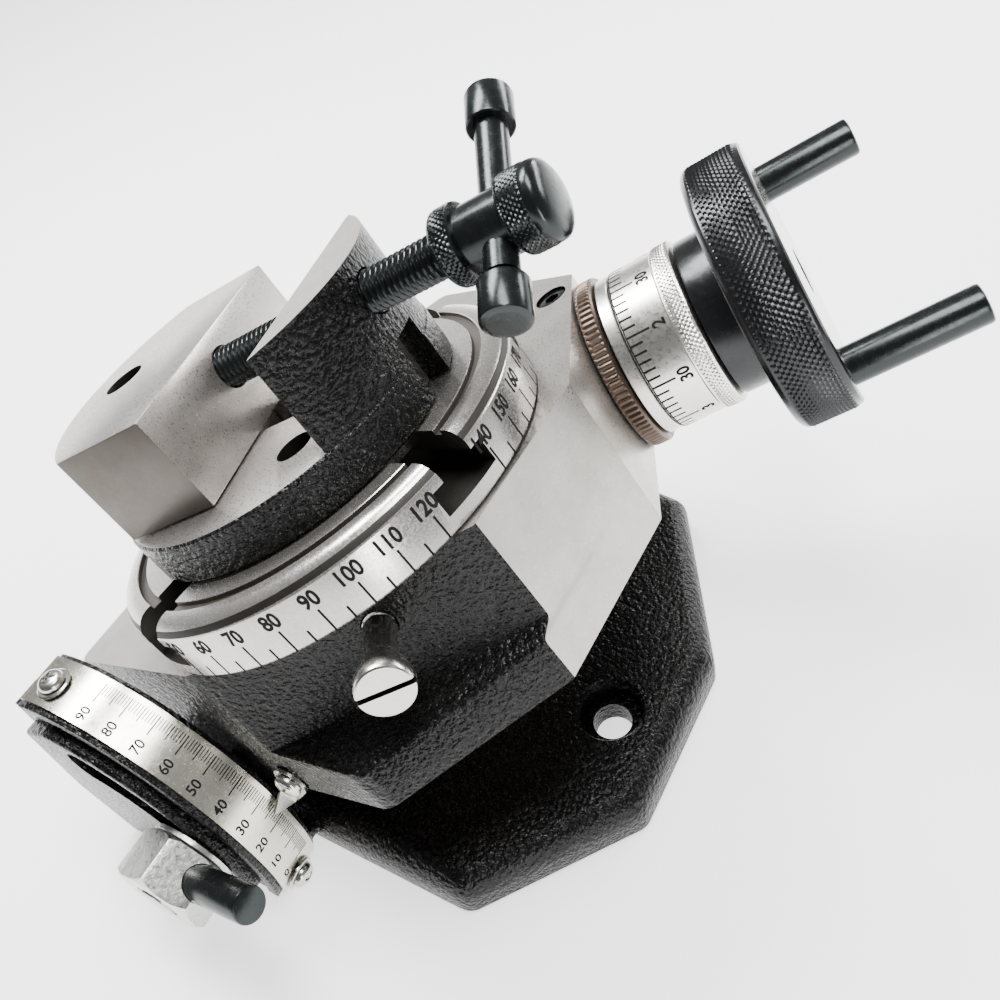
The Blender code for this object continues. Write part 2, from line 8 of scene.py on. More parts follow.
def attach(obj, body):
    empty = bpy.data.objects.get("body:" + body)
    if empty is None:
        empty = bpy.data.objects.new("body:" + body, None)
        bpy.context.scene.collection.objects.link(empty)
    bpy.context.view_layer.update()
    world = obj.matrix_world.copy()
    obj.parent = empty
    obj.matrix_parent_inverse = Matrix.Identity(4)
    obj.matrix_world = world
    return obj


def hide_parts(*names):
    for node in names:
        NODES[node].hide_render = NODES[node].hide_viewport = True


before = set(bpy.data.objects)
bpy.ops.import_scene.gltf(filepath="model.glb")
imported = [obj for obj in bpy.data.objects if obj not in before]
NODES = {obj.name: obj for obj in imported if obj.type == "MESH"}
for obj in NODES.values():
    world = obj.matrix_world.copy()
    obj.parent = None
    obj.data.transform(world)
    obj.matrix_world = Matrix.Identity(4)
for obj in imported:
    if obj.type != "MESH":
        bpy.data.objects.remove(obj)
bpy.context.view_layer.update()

MM = 0.001
TILT = 24.5
PIVOT_X, PIVOT_Z, PIVOT_DOWN = -44.3, 11.12, 26.93
BODY_H, BASE_TOP = 28.8, 8.95
SCALE_ZERO = -8.2
STUD_R, STUD_ANG = 20.4, -8.7
WORM_DIR, WORM_SIDE, WORM_Z = 30.0, 27.475, -15.67
VISE_DIR, VISE_AXIS_Z = 20.5, 27.9
BASE_OUTLINE = [(-50.5, -37.8), (17.5, -37.8), (38.2, -12.1), (38.2, 19.65),
                (18.8, 53.2), (-20.8, 59.5), (-50.5, 29.8)]
BODY_TOP = [(-43, -37.8), (-3.6, -37.8), (38.2, -8.8), (38.2, 19.65),
            (18.8, 53.2), (-20.8, 59.5), (-43, 37.3)]
BODY_FOOT = [(-43, -37.8), (17.5, -37.8), (38.2, -12.1), (38.2, 19.65),
             (18.8, 53.2), (-20.8, 59.5), (-43, 37.3)]


def place(x, y, z):
    return Matrix.Translation(Vector((x, y, z)) * MM)


def turn(deg, axis):
    return Matrix.Rotation(math.radians(deg), 4, axis)


ALONG_Y = turn(-90, "X")
ALONG_X = turn(90, "Y")
PIN = place(PIVOT_X, 0, PIVOT_Z)
BODY = PIN @ turn(-TILT, "Y") @ place(-PIVOT_X, 0, PIVOT_DOWN)
hw = math.radians(WORM_DIR)
H = Vector((math.cos(hw), math.sin(hw), 0))
L = Vector((-math.sin(hw), math.cos(hw), 0))
U = Vector((0, 0, 1))
_w = Matrix((L, U, H)).transposed().to_4x4()
_w.translation = (L * WORM_SIDE + U * WORM_Z) * MM
WORM = BODY @ _w
VISE = BODY @ turn(VISE_DIR, "Z")
VAXIS = VISE @ place(0, 0, VISE_AXIS_Z) @ ALONG_X


# ---------------------------------------------------------------- materials
class Nodes:
    def __init__(self, name):
        self.m = bpy.data.materials.new(name)
        self.m.use_nodes = True
        self.t = self.m.node_tree
        self.b = self.t.nodes["Principled BSDF"]
        self.c = self.t.nodes.new("ShaderNodeTexCoord")

    def new(self, kind, **kw):
        n = self.t.nodes.new(kind)
        for k, v in kw.items():
            if k in n.inputs:
                n.inputs[k].default_value = v
            else:
                setattr(n, k, v)
        return n

    def link(self, a, b):
        self.t.links.new(a, b)

    def set(self, **kw):
        for k, v in kw.items():
            self.b.inputs[k.replace("_", " ")].default_value = v

    def noise(self, scale, detail=2.0, rough=0.5, stretch=None):
        n = self.new("ShaderNodeTexNoise")
        n.inputs["Scale"].default_value = scale
        n.inputs["Detail"].default_value = detail
        n.inputs["Roughness"].default_value = rough
        if stretch:
            mp = self.new("ShaderNodeMapping")
            mp.inputs["Scale"].default_value = stretch
            self.link(self.c.outputs["Object"], mp.inputs["Vector"])
            self.link(mp.outputs["Vector"], n.inputs["Vector"])
        else:
            self.link(self.c.outputs["Object"], n.inputs["Vector"])
        return n.outputs["Fac"]

    def ramp(self, fac, stops):
        r = self.new("ShaderNodeValToRGB")
        cr = r.color_ramp
        while len(cr.elements) > 1:
            cr.elements.remove(cr.elements[-1])
        cr.elements[0].position = stops[0][0]
        cr.elements[0].color = (*stops[0][1], 1)
        for p, c in stops[1:]:
            e = cr.elements.new(p)
            e.color = (*c, 1)
        self.link(fac, r.inputs["Fac"])
        return r.outputs["Color"]

    def bump(self, height, strength, distance):
        n = self.new("ShaderNodeBump")
        n.inputs["Strength"].default_value = strength
        n.inputs["Distance"].default_value = distance
        self.link(height, n.inputs["Height"])
        self.link(n.outputs["Normal"], self.b.inputs["Normal"])


def grey(v, w=0.0):
    return (v * (1 + w), v, v * (1 - w))


def wrinkle_paint(name, size=0.00055, lift=0.00022):
    n = Nodes(name)
    n.set(Metallic=0.0, Roughness=0.3, IOR=1.45, Specular_IOR_Level=0.24)
    big = n.noise(1 / size * 0.75, 1.6, 0.5)
    tone = n.noise(1 / size * 0.75, 2.0, 0.5)
    n.link(n.ramp(tone, [(0.36, grey(0.002)), (0.55, grey(0.005)), (0.7, grey(0.014, 0.02))]), n.b.inputs["Base Color"])
    r = n.ramp(n.noise(1 / size * 2.2, 1.0), [(0.35, grey(0.16)), (0.65, grey(0.42))])
    n.link(r, n.b.inputs["Roughness"])
    n.bump(big, 1.0, lift)
    return n.m


def ground(name, tone=0.66, warm=0.045, rough=0.36, grain=(1, 1, 1)):
    n = Nodes(name)
    n.set(Metallic=0.85)
    cloud = n.noise(75, 4.0, 0.65)
    n.link(n.ramp(cloud, [(0.3, grey(tone * 0.84, warm * 1.5)), (0.5, grey(tone, warm)), (0.7, grey(tone * 1.12, warm * 0.7))]), n.b.inputs["Base Color"])
    g = n.noise(2600, 2.0, 0.6, stretch=grain)
    n.link(n.ramp(g, [(0.3, grey(rough - 0.06)), (0.7, grey(rough + 0.1))]), n.b.inputs["Roughness"])
    n.bump(g, 0.12, 0.00004)
    return n.m


def metal(name, rgb, rough, spread=0.06, scale=700, bump=0.1, metallic=1.0, stretch=None, lift=0.00004):
    n = Nodes(name)
    n.set(Metallic=metallic)
    f = n.noise(scale, 3.0, 0.6, stretch)
    n.link(n.ramp(n.noise(60, 2.0), [(0.3, tuple(c * 0.9 for c in rgb)), (0.7, tuple(c * 1.08 for c in rgb))]), n.b.inputs["Base Color"])
    n.link(n.ramp(f, [(0.3, grey(max(0.03, rough - spread))), (0.7, grey(rough + spread))]), n.b.inputs["Roughness"])
    n.bump(f, bump, lift)
    return n.m


M_PAINT = wrinkle_paint("black_wrinkle_paint", 0.0006, 0.00042)
M_GROUND = ground("ground_iron", 0.46, 0.055, 0.30)
# Painted shade: a darker copy of the ground iron, laid on the groove in the table top and on the movable jaw's side
# face to stand in for the shade there.
M_SHADED_IRON = ground("ground_iron_painted_shade", 0.11, 0.12, 0.42)
M_SLOT = ground("slot_shadowed_iron", 0.035, 0.1, 0.5)
M_TABLE = ground("turned_iron", 0.52, 0.05, 0.22)
M_NICKEL = metal("satin_nickel", (0.76, 0.73, 0.64), 0.24, 0.05, 1400, 0.1)
M_ZINC = metal("bright_zinc", (0.66, 0.65, 0.61), 0.24, 0.06, 700, 0.15)
M_NUT = metal("rough_zinc", (0.62, 0.62, 0.60), 0.36, 0.14, 1300, 0.8, lift=0.0001)
M_OXIDE = metal("black_oxide", (0.030, 0.034, 0.034), 0.24, 0.06, 900, 0.12, 0.85)
M_OXIDE2 = metal("black_oxide_rough", (0.025, 0.027, 0.027), 0.32, 0.1, 1200, 0.3, 0.8)
M_WHEEL = metal("blacked_wheel", (0.030, 0.031, 0.032), 0.24, 0.05, 800, 0.1, 0.8)
M_CHROME = metal("satin_chrome", (0.80, 0.785, 0.73), 0.30, 0.05, 1500, 0.1)
M_FACE = metal("bright_face", (0.78, 0.77, 0.74), 0.2, 0.04, 1200, 0.08)
M_BROWN = metal("brown_ring", (0.10, 0.072, 0.055), 0.36, 0.1, 900, 0.3, 0.8)
M_STEEL = metal("turned_steel", (0.50, 0.50, 0.49), 0.3, 0.06, 900, 0.1)
M_BRONZE = metal("bronze", (0.55, 0.35, 0.14), 0.32, 0.06, 900, 0.1)
M_INK = Nodes("engraving_black")
M_INK.set(Roughness=0.8, Specular_IOR_Level=0.15)
M_INK.link(M_INK.ramp(M_INK.noise(1500), [(0.3, grey(0.004)), (0.7, grey(0.012))]), M_INK.b.inputs["Base Color"])
M_INK = M_INK.m


# ---------------------------------------------------------------- mesh tools
def link(name, bm):
    bmesh.ops.recalc_face_normals(bm, faces=bm.faces)
    me = bpy.data.meshes.new(name)
    bm.to_mesh(me)
    bm.free()
    ob = bpy.data.objects.new(name, me)
    bpy.context.scene.collection.objects.link(ob)
    return ob


def skin(rings, caps=True, closed=False):
    bm = bmesh.new()
    rows = [[bm.verts.new(Vector(p) * MM) for p in r] for r in rings]
    n = len(rows[0])
    pairs = list(zip(rows, rows[1:]))
    if closed:
        pairs.append((rows[-1], rows[0]))
    for a, b in pairs:
        for i in range(n):
            j = (i + 1) % n
            bm.faces.new((a[i], a[j], b[j], b[i]))
    if caps and not closed:
        bm.faces.new(rows[0])
        bm.faces.new(rows[-1])
    return link("tmp", bm)


def prism(poly, h0, h1, plane="XY", bevel=0.0, segs=2):
    def at(p, h):
        return {"XY": (p[0], p[1], h), "XZ": (p[0], h, p[1]), "YZ": (h, p[0], p[1])}[plane]
    ob = skin([[at(p, h0) for p in poly], [at(p, h1) for p in poly]])
    if bevel:
        edges(ob, bevel, segs)
    return ob


def edges(ob, width, segs=2, angle=25, pick=None):
    """Round the edges of a clean shape that bend more than angle."""
    bm = bmesh.new()
    bm.from_mesh(ob.data)
    lim = math.radians(angle)
    es = [e for e in bm.edges if len(e.link_faces) == 2 and e.calc_face_angle(0) > lim and (pick is None or pick(e))]
    bmesh.ops.bevel(bm, geom=es, offset=width * MM, offset_type="OFFSET", segments=segs, profile=0.5, affect="EDGES", clamp_overlap=True)
    bm.to_mesh(ob.data)
    bm.free()
    return ob


def box(x0, x1, y0, y1, z0, z1, bevel=0.0):
    return prism([(x0, y0), (x1, y0), (x1, y1), (x0, y1)], z0, z1, "XY", bevel)


def circle(r, n, cx=0.0, cy=0.0, a0=0.0):
    return [(cx + r * math.cos(math.radians(a0) + 2 * math.pi * i / n),
             cy + r * math.sin(math.radians(a0) + 2 * math.pi * i / n)) for i in range(n)]


def lathe(profile, n, hollow=False):
    bm = bmesh.new()
    rows = []
    for r, z in profile:
        if r < 1e-6:
            rows.append([bm.verts.new((0, 0, z * MM))])
        else:
            rows.append([bm.verts.new((r * MM * math.cos(2 * math.pi * i / n),
                                       r * MM * math.sin(2 * math.pi * i / n), z * MM)) for i in range(n)])
    pairs = list(zip(rows, rows[1:]))
    if hollow:
        pairs.append((rows[-1], rows[0]))
    for a, b in pairs:
        for i in range(n):
            j = (i + 1) % n
            if len(a) == 1:
                bm.faces.new((a[0], b[j], b[i]))
            elif len(b) == 1:
                bm.faces.new((a[i], a[j], b[0]))
            else:
                bm.faces.new((a[i], a[j], b[j], b[i]))
    return link("tmp", bm)


def rod(r, z0, z1, n=48, c=0.0):
    if c:
        return lathe([(0, z0), (r - c, z0), (r - c * 0.3, z0 + c * 0.3), (r, z0 + c), (r, z1 - c), (r - c * 0.3, z1 - c * 0.3),
                      (r - c, z1), (0, z1)], n)
    return lathe([(0, z0), (r, z0), (r, z1), (0, z1)], n)


def tube(r0, r1, z0, z1, n=64):
    return lathe([(r0, z0), (r1 - 0.1, z0), (r1, z0 + 0.1), (r1, z1 - 0.1), (r1 - 0.1, z1), (r0, z1)], n, hollow=True)


def moved(ob, matrix):
    ob.data.transform(matrix)
    if matrix.to_3x3().determinant() < 0:
        ob.data.flip_normals()
    return ob


def boolean(ob, other, op):
    mod = ob.modifiers.new("b", "BOOLEAN")
    mod.solver = "EXACT"
    mod.operation = op
    mod.object = other
    bpy.context.view_layer.update()
    dg = bpy.context.evaluated_depsgraph_get()
    me = bpy.data.meshes.new_from_object(ob.evaluated_get(dg))
    ob.modifiers.clear()
    bm = bmesh.new()
    bm.from_mesh(me)
    bmesh.ops.remove_doubles(bm, verts=bm.verts, dist=0.000002)
    bm.to_mesh(me)
    bm.free()
    old = ob.data
    ob.data = me
    bpy.data.meshes.remove(old)
    bpy.data.objects.remove(other, do_unlink=True)
    return ob


def cut(ob, *tools):
    for t in tools:
        boolean(ob, t, "DIFFERENCE")
    return ob


def join(ob, *others):
    for t in others:
        boolean(ob, t, "UNION")
    return ob


def merge(parts):
    """One mesh from several separate shapes."""
    bm = bmesh.new()
    for p in parts:
        bm.from_mesh(p.data)
        bpy.data.objects.remove(p, do_unlink=True)
    me = bpy.data.meshes.new("tmp")
    bm.to_mesh(me)
    bm.free()
    ob = bpy.data.objects.new("tmp", me)
    bpy.context.scene.collection.objects.link(ob)
    return ob


def done(name, ob, body, mat, at=None, replaces=(), choose=None, angle=30):
    """Finish a piece.  choose(face centre, normal) in mm gives a material index."""
    ob.name = name
    ob.data.name = name
    mats = mat if isinstance(mat, (list, tuple)) else [mat]
    ob.data.materials.clear()
    for m in mats:
        ob.data.materials.append(m)
    if choose:
        for p in ob.data.polygons:
            p.material_index = choose(Vector(p.center) / MM, Vector(p.normal))
    else:
        for p in ob.data.polygons:
            p.material_index = 0
    if at is not None:
        ob.data.transform(at)
    ob.data.shade_smooth()
    ob.data.set_sharp_from_angle(angle=math.radians(angle))
    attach(ob, body)
    if replaces:
        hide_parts(*replaces)
    return ob


def inset(poly, d):
    out = []
    n = len(poly)
    for i in range(n):
        a, b, c = Vector(poly[i - 1]), Vector(poly[i]), Vector(poly[(i + 1) % n])
        u, v = (b - a).normalized(), (c - b).normalized()
        nu, nv = Vector((-u.y, u.x)), Vector((-v.y, v.x))
        p = b + (nu + nv) * (d / (1 + nu.dot(nv)))
        out.append((p.x, p.y))
    return out


def rounded(poly, radii, n=5):
    """Round the corners of a convex outline; radii is one number or one per corner."""
    out = []
    k = len(poly)
    for i in range(k):
        r = radii if isinstance(radii, (int, float)) else radii[i]
        a, b, c = Vector(poly[i - 1]), Vector(poly[i]), Vector(poly[(i + 1) % k])
        u, v = (a - b).normalized(), (c - b).normalized()
        half = u.angle(v) / 2
        t = r / math.tan(half)
        centre = b + (u + v).normalized() * (r / math.sin(half))
        p0, p1 = b + u * t, b + v * t
        a0 = math.atan2(p0.y - centre.y, p0.x - centre.x)
        a1 = math.atan2(p1.y - centre.y, p1.x - centre.x)
        while a1 - a0 > math.pi:
            a1 -= 2 * math.pi
        while a1 - a0 < -math.pi:
            a1 += 2 * math.pi
        for j in range(n + 1):
            q = a0 + (a1 - a0) * j / n
            out.append((centre.x + r * math.cos(q), centre.y + r * math.sin(q)))
    return out


def about_pin(r, deg, row=True):
    cz = PIVOT_Z if row else -PIVOT_DOWN
    return (PIVOT_X + r * math.cos(math.radians(deg)), cz + r * math.sin(math.radians(deg)))


def sector(r0, r1, a0, a1, step=1.5, row=True):
    k = max(2, int(round((a1 - a0) / step)))
    outer = [about_pin(r1, a0 + (a1 - a0) * i / k, row) for i in range(k + 1)]
    inner = [about_pin(r0, a1 - (a1 - a0) * i / k, row) for i in range(k + 1)]
    return outer + inner


# ---------------------------------------------------------------- engraving
def mark(r, a, half_w, z0, z1, proud=0.02, deep=0.08):
    """A line cut along the axis of a cylinder about Z, at angle a (degrees)."""
    bm = bmesh.new()
    da = math.degrees(half_w / r)
    vs = []
    for rr in (r - deep, r + proud):
        for aa, z in ((a - da, z0), (a + da, z0), (a + da, z1), (a - da, z1)):
            q = math.radians(aa)
            vs.append(bm.verts.new((rr * MM * math.cos(q), rr * MM * math.sin(q), z * MM)))
    for f in ((0, 1, 2, 3), (4, 5, 6, 7), (0, 1, 5, 4), (1, 2, 6, 5), (2, 3, 7, 6), (3, 0, 4, 7)):
        bm.faces.new([vs[i] for i in f])
    return link("tmp", bm)


def text(s, height, squeeze=0.8, weight=0.0):
    """Flat outlined text centred on the origin in XY, mm, as a thin solid."""
    cu = bpy.data.curves.new("tmp", "FONT")
    cu.body = s
    cu.align_x = "CENTER"
    cu.align_y = "CENTER"
    cu.size = 1.0
    cu.resolution_u = 3
    cu.extrude = 0.02
    cu.offset = weight
    ob = bpy.data.objects.new("tmp", cu)
    bpy.context.scene.collection.objects.link(ob)
    bpy.context.view_layer.update()
    me = bpy.data.meshes.new_from_object(ob.evaluated_get(bpy.context.evaluated_depsgraph_get()))
    bpy.data.objects.remove(ob, do_unlink=True)
    xs = [v.co.x for v in me.vertices]
    ys = [v.co.y for v in me.vertices]
    cx, cy, h = (min(xs) + max(xs)) / 2, (min(ys) + max(ys)) / 2, max(ys) - min(ys)
    k = height / h
    for v in me.vertices:
        v.co = Vector(((v.co.x - cx) * k * squeeze, (v.co.y - cy) * k, v.co.z * 1.0))
    out = bpy.data.objects.new("tmp", me)
    bpy.context.scene.collection.objects.link(out)
    return out


def wrap(ob, r, a, z, along="turn", proud=0.0):
    """Bend flat text (mm) onto a cylinder about Z at angle a and height z.
    along='turn': text runs with the angle; 'axis': text runs with +Z."""
    for v in ob.data.vertices:
        x, y, h = v.co
        if along == "turn":
            q, zz = math.radians(a) + x / r, z + y
        elif along == "turn_back":
            q, zz = math.radians(a) - x / r, z - y
        elif along == "axis":
            q, zz = math.radians(a) - y / r, z + x
        else:
            q, zz = math.radians(a) + y / r, z - x
        rr = r + proud + h
        v.co = Vector((rr * MM * math.cos(q), rr * MM * math.sin(q), zz * MM))
    return ob


def knurl_band(r, z0, z1, pitch, depth, sub=4, base=None, ends=0.3):
    """Rows of a diamond-knurled band about Z: list of (z, [radius...])."""
    n = max(12, int(round(2 * math.pi * r / pitch)))
    rows = []
    m = max(3, int(round((z1 - z0) / pitch * sub)))
    for j in range(m + 1):
        z = z0 + (z1 - z0) * j / m
        edge = min(1.0, (z - z0) / ends + 0.0, (z1 - z) / ends + 0.0) if ends else 1.0
        ring = []
        for i in range(n * sub):
            a = i / sub
            b = (z - z0) / pitch
            f1 = abs(((a + b) % 1.0) - 0.5) * 2
            f2 = abs(((a - b) % 1.0) - 0.5) * 2
            hgt = min(f1, f2)
            ring.append(r - depth * edge * (1 - min(1.0, hgt * 1.5)) - depth * 0.6 * (1 - edge))
        rows.append((z, ring))
    return rows, n * sub


def turned(before, rows, after, n, hollow_r=None):
    """A turned solid whose middle band has its own radii per vertex."""
    rings = []
    for r, z in before:
        rings.append([(r * math.cos(2 * math.pi * i / n), r * math.sin(2 * math.pi * i / n), z) for i in range(n)])
    for z, ring in rows:
        rings.append([(ring[i] * math.cos(2 * math.pi * i / n), ring[i] * math.sin(2 * math.pi * i / n), z) for i in range(n)])
    for r, z in after:
        rings.append([(r * math.cos(2 * math.pi * i / n), r * math.sin(2 * math.pi * i / n), z) for i in range(n)])
    return skin(rings, closed=hollow_r is not None)


# ---------------------------------------------------------------- base
base_round = [1.5, 4.0, 4.0, 4.0, 3.0, 4.0, 1.5]
rings = []
for z, d in ((0.0, 0.5), (0.5, 0.05), (4.2, 0.0), (5.6, 0.25), (6.8, 0.75), (7.8, 1.5), (8.5, 2.5), (8.85, 3.3), (BASE_TOP, 4.2)):
    rings.append([(x, y, z) for x, y in rounded(inset(BASE_OUTLINE, d), [max(0.6, r - d * 0.4) for r in base_round])])
base = skin(rings)


def lug(y0, y1):
    top = [about_pin(6.0, a) for a in range(0, 181, 8)]
    return prism([(PIVOT_X + 6.0, 2.0)] + top + [(PIVOT_X - 6.0, 2.0)], y0, y1, "XZ", 0.5)


join(base, lug(-36.0, -27.0), lug(20.0, 29.0))
web = prism([(-50.5, 0.0), about_pin(29.8, -21.5)] + [about_pin(29.6, a) for a in range(-18, 109, 3)] +
            [about_pin(29.6, 109.5), (-57.6, 38.0), (-57.0, 14.0)], -49.5, -44.5, "XZ")
flange = prism([(x, max(z, 0.0)) for x, z in sector(28.5, 30.75, -20.0, 110.0)], -50.1, -39.1, "XZ", 0.25)
pad = prism([(-50.8, 0.3), (-24.6, 0.3), about_pin(26.4, -23.5)] + [about_pin(26.4, a) for a in range(-20, 101, 4)] +
            [(-56.6, 33.0), (-56.8, 14.0)], -52.0, -49.0, "XZ", 0.7, 3)
join(base, web, flange, pad, box(-50.5, -30.0, -45.5, -37.0, 0.0, 8.5), box(-31.0, -16.3, -45.5, -37.0, 0.0, 2.2))
slot = prism(sector(16.1, 24.7, STUD_ANG, STUD_ANG + 90, 3.0), -56, -42, "XZ")
cut(base, slot, *[prism(circle(4.3, 40, *about_pin(STUD_R, STUD_ANG + k)), -56.5, -42.5, "XZ") for k in (0, 90)])
cut(base, prism(circle(6.4, 48, PIVOT_X, PIVOT_Z), -27.0, 20.0, "XZ"),
    prism(circle(4.15, 36, PIVOT_X, PIVOT_Z), -37.2, 30.2, "XZ"))
for hx, hy in ((25.7, 2.0), (-22.0, 2.0)):
    cut(base, moved(rod(3.5, -1, 10, 40), place(hx, hy, 0)),
        moved(lathe([(0, 4.6), (5.7, 4.6), (5.75, 8.2), (6.3, 9.1), (6.3, 10.5), (0, 10.5)], 48), place(hx, hy, 0)))


def radial(deg, y):
    return place(PIVOT_X, y, PIVOT_Z) @ turn(90 - deg, "Y")


done("base_casting_painted", base, "base", M_PAINT, replaces=("base_casting",), angle=38)

# ---------------------------------------------------------------- tilt scale
QUAD = Matrix(((1, 0, 0, PIVOT_X * MM), (0, 0, -1, 0), (0, 1, 0, PIVOT_Z * MM), (0, 0, 0, 1)))
plate = prism(sector(31.0, 31.5, -19.3, 108.6, 0.9), -49.0, -40.1, "XZ")
done("tilt_scale_plate_bent", plate, "base", M_NICKEL, replaces=("tilt_scale_plate",))
bits = []
for k in range(0, 91):
    a = SCALE_ZERO + k
    length, w = (3.6, 0.12) if k % 10 == 0 else ((2.7, 0.1) if k % 5 == 0 else (2.0, 0.08))
    bits.append(mark(31.5, a, w, 41.06, 41.06 + length))
for k in range(0, 91, 10):
    t = text(str(k), 1.9, 0.95, 0.02)
    bits.append(wrap(t, 31.5, SCALE_ZERO + k, 46.9, "axis_out"))
done("tilt_scale_engraving", merge(bits), "base", M_INK, at=QUAD)


def pan_head(r, z0, shank_r, shank_to):
    """Phillips pan head: domed, with a cross recess; local Z points out."""
    prof = [(0, shank_to), (shank_r, shank_to), (shank_r, z0), (r, z0), (r, z0 + 0.45)]
    for i in range(1, 7):
        q = math.pi / 2 * i / 6
        prof.append((r - 0.9 * (1 - math.cos(q)) - 0.25 * i / 6, z0 + 0.45 + 0.9 * math.sin(q)))
    prof += [(r * 0.4, z0 + 1.5), (0, z0 + 1.52)]
    ob = lathe(prof, 40)
    cross = [moved(prism([(-1.35, -0.26), (1.35, -0.26), (0.5, 0.26), (-0.5, 0.26)][:2] + [(1.35, 0.26), (-1.35, 0.26)],
                         z0 + 0.75, z0 + 3), turn(35 + q, "Z")) for q in (0, 90)]
    return cut(ob, *cross)


for key, a in (("lower", SCALE_ZERO - 9.0), ("upper", SCALE_ZERO + 106.0)):
    done("scale_screw_pan_" + key, pan_head(2.3, 32.4, 1.2, 27.0), "base", M_ZINC, at=radial(a, -45.0),
         replaces=("scale_screw_" + key,))
    w = lathe([(1.55, 31.75), (2.9, 31.75), (3.0, 31.85), (3.0, 32.1), (2.75, 32.25), (1.55, 32.25)], 40, hollow=True)
    done("scale_washer_flat_" + key, w, "base", M_ZINC, at=radial(a, -45.0), replaces=("scale_washer_" + key,))

# ---------------------------------------------------------------- body casting
body_round = [2.0, 3.5, 0.5, 0.15, 0.15, 2.5, 2.5]
top, foot = rounded(BODY_TOP, body_round, 6), rounded(BODY_FOOT, [2.0, 4.0, 1.0, 0.15, 0.15, 2.5, 2.5], 6)


def between(k, z):
    return [(a[0] + (b[0] - a[0]) * k, a[1] + (b[1] - a[1]) * k, z) for a, b in zip(top, foot)]


rings = [between(0, 0), between(0, -18.2), between(0.03, -18.8), between(0.16, -19.25), between(0.5, -19.75), between(0.8, -20.15),
         between(0.95, -20.6), between(1, -21.3), between(1, -BODY_H)]
body = skin(rings)
PX, PZ = PIVOT_X, -PIVOT_DOWN
cut(body, prism(circle(6.4, 48, PX, PZ), -36.4, -26.6, "XZ"), prism(circle(6.4, 48, PX, PZ), 19.6, 29.4, "XZ"))
join(body, prism(circle(6.0, 48, PX, PZ), -26.7, 19.7, "XZ"))
stud_x, stud_z = about_pin(STUD_R, STUD_ANG, row=False)
join(body, prism([(stud_x - 5.3, -21.5), (stud_x + 5.3, -21.5), (stud_x + 5.3, -28.5), (stud_x - 5.3, -28.5)],
                 -44.2, -37.0, "XZ"),
     prism(circle(5.3, 40, stud_x, stud_z), -44.2, -38.1, "XZ"))
cut(body, prism(circle(4.15, 36, PX, PZ), -27.5, 20.5, "XZ"), prism(circle(4.15, 36, stud_x, stud_z), -45.0, -36.4, "XZ"))
cut(body, rod(12.3, -9.5, 1, 72), rod(24.0, -30, -8.5, 96))
cut(body, moved(rod(6.2, -14, 14, 40), _w), moved(rod(7.3, 13.5, 60, 48), _w), moved(rod(4.15, -22.2, 0, 32), _w))
LOCK = place(0, 0, -7.5) @ turn(-45, "Z") @ ALONG_X
cut(body, moved(rod(2.8, 9, 34, 32), LOCK))
cut(body, moved(rod(3.0, -10.6, 1, 36), place(17.5, 47.0, 0)))
PTX, PTZ = -5.5, -26.4
cut(body, prism(circle(1.5, 24, PTX, PTZ), -39, -32.0, "XZ"))


def body_face(c, n):
    if n.z > 0.99 and c.z > -0.1:
        return 1
    if n.x > 0.999 and c.x > 38.0:
        return 1
    if n.dot(H) > 0.999 and c.dot(H) > 42.7:
        return 1
    return 0


done("body_casting_painted", body, "tilting_body", [M_PAINT, M_GROUND], at=BODY, replaces=("body_casting",), choose=body_face,
     angle=34)

# pointer
tri_r = 32.3
half = math.degrees(2.5 / tri_r)


def convex(points):
    pts = sorted(set(points))

    def chain(seq):
        out = []
        for p in seq:
            while len(out) > 1 and ((out[-1][0] - out[-2][0]) * (p[1] - out[-2][1])
                                    - (out[-1][1] - out[-2][1]) * (p[0] - out[-2][0])) <= 0:
                out.pop()
            out.append(p)
        return out
    lo, hi = chain(pts), chain(pts[::-1])
    return lo[:-1] + hi[:-1]


e1, e2 = about_pin(tri_r + 0.2, SCALE_ZERO - half, False), about_pin(tri_r + 0.2, SCALE_ZERO + half, False)
pointer = prism(convex(circle(3.1, 40, PTX, PTZ) + [e1, e2]), -38.6, -38.1, "XZ")
tri = skin([[(-2.4, -38.2, r), (2.4, -38.2, r), (0.15, -42.2, r), (-0.15, -42.2, r)] for r in (tri_r, tri_r + 0.5)])
join(pointer, moved(tri, place(PX, 0, PZ) @ turn(90 - SCALE_ZERO, "Y")))
cut(pointer, prism(circle(1.5, 24, PTX, PTZ), -40, -37, "XZ"))
done("pointer_bent", pointer, "tilting_body", M_ZINC, at=BODY, replaces=("pointer",), angle=20)
done("pointer_screw_pan", pan_head(2.4, 38.8, 1.2, 33.0), "tilting_body", M_ZINC,
     at=BODY @ place(PTX, 0, PTZ) @ turn(90, "X"), replaces=("pointer_screw",))

# clamp stud, washer, nut and lever
STUD = BODY @ place(stud_x, 0, stud_z)


def thread(r, depth, pitch, z0, z1, n=36, per=8, fade=0.6):
    rings = []
    k = int(round((z1 - z0) / pitch * per))
    for j in range(k + 1):
        z = z0 + (z1 - z0) * j / k
        f = min(1.0, (z - z0) / fade, (z1 - z) / fade)
        ring = []
        for i in range(n):
            ph = (z / pitch - i / n) % 1.0
            tri_h = abs(ph - 0.5) * 2
            prof = min(1.0, max(0.0, (tri_h - 0.12) / 0.7))
            q = 2 * math.pi * i / n
            rr = r - depth * (1 - prof) * 1.0 if f >= 1 else r - depth * (1 - prof * f)
            ring.append((rr * math.cos(q), rr * math.sin(q), z))
        rings.append(ring)
    return skin(rings)


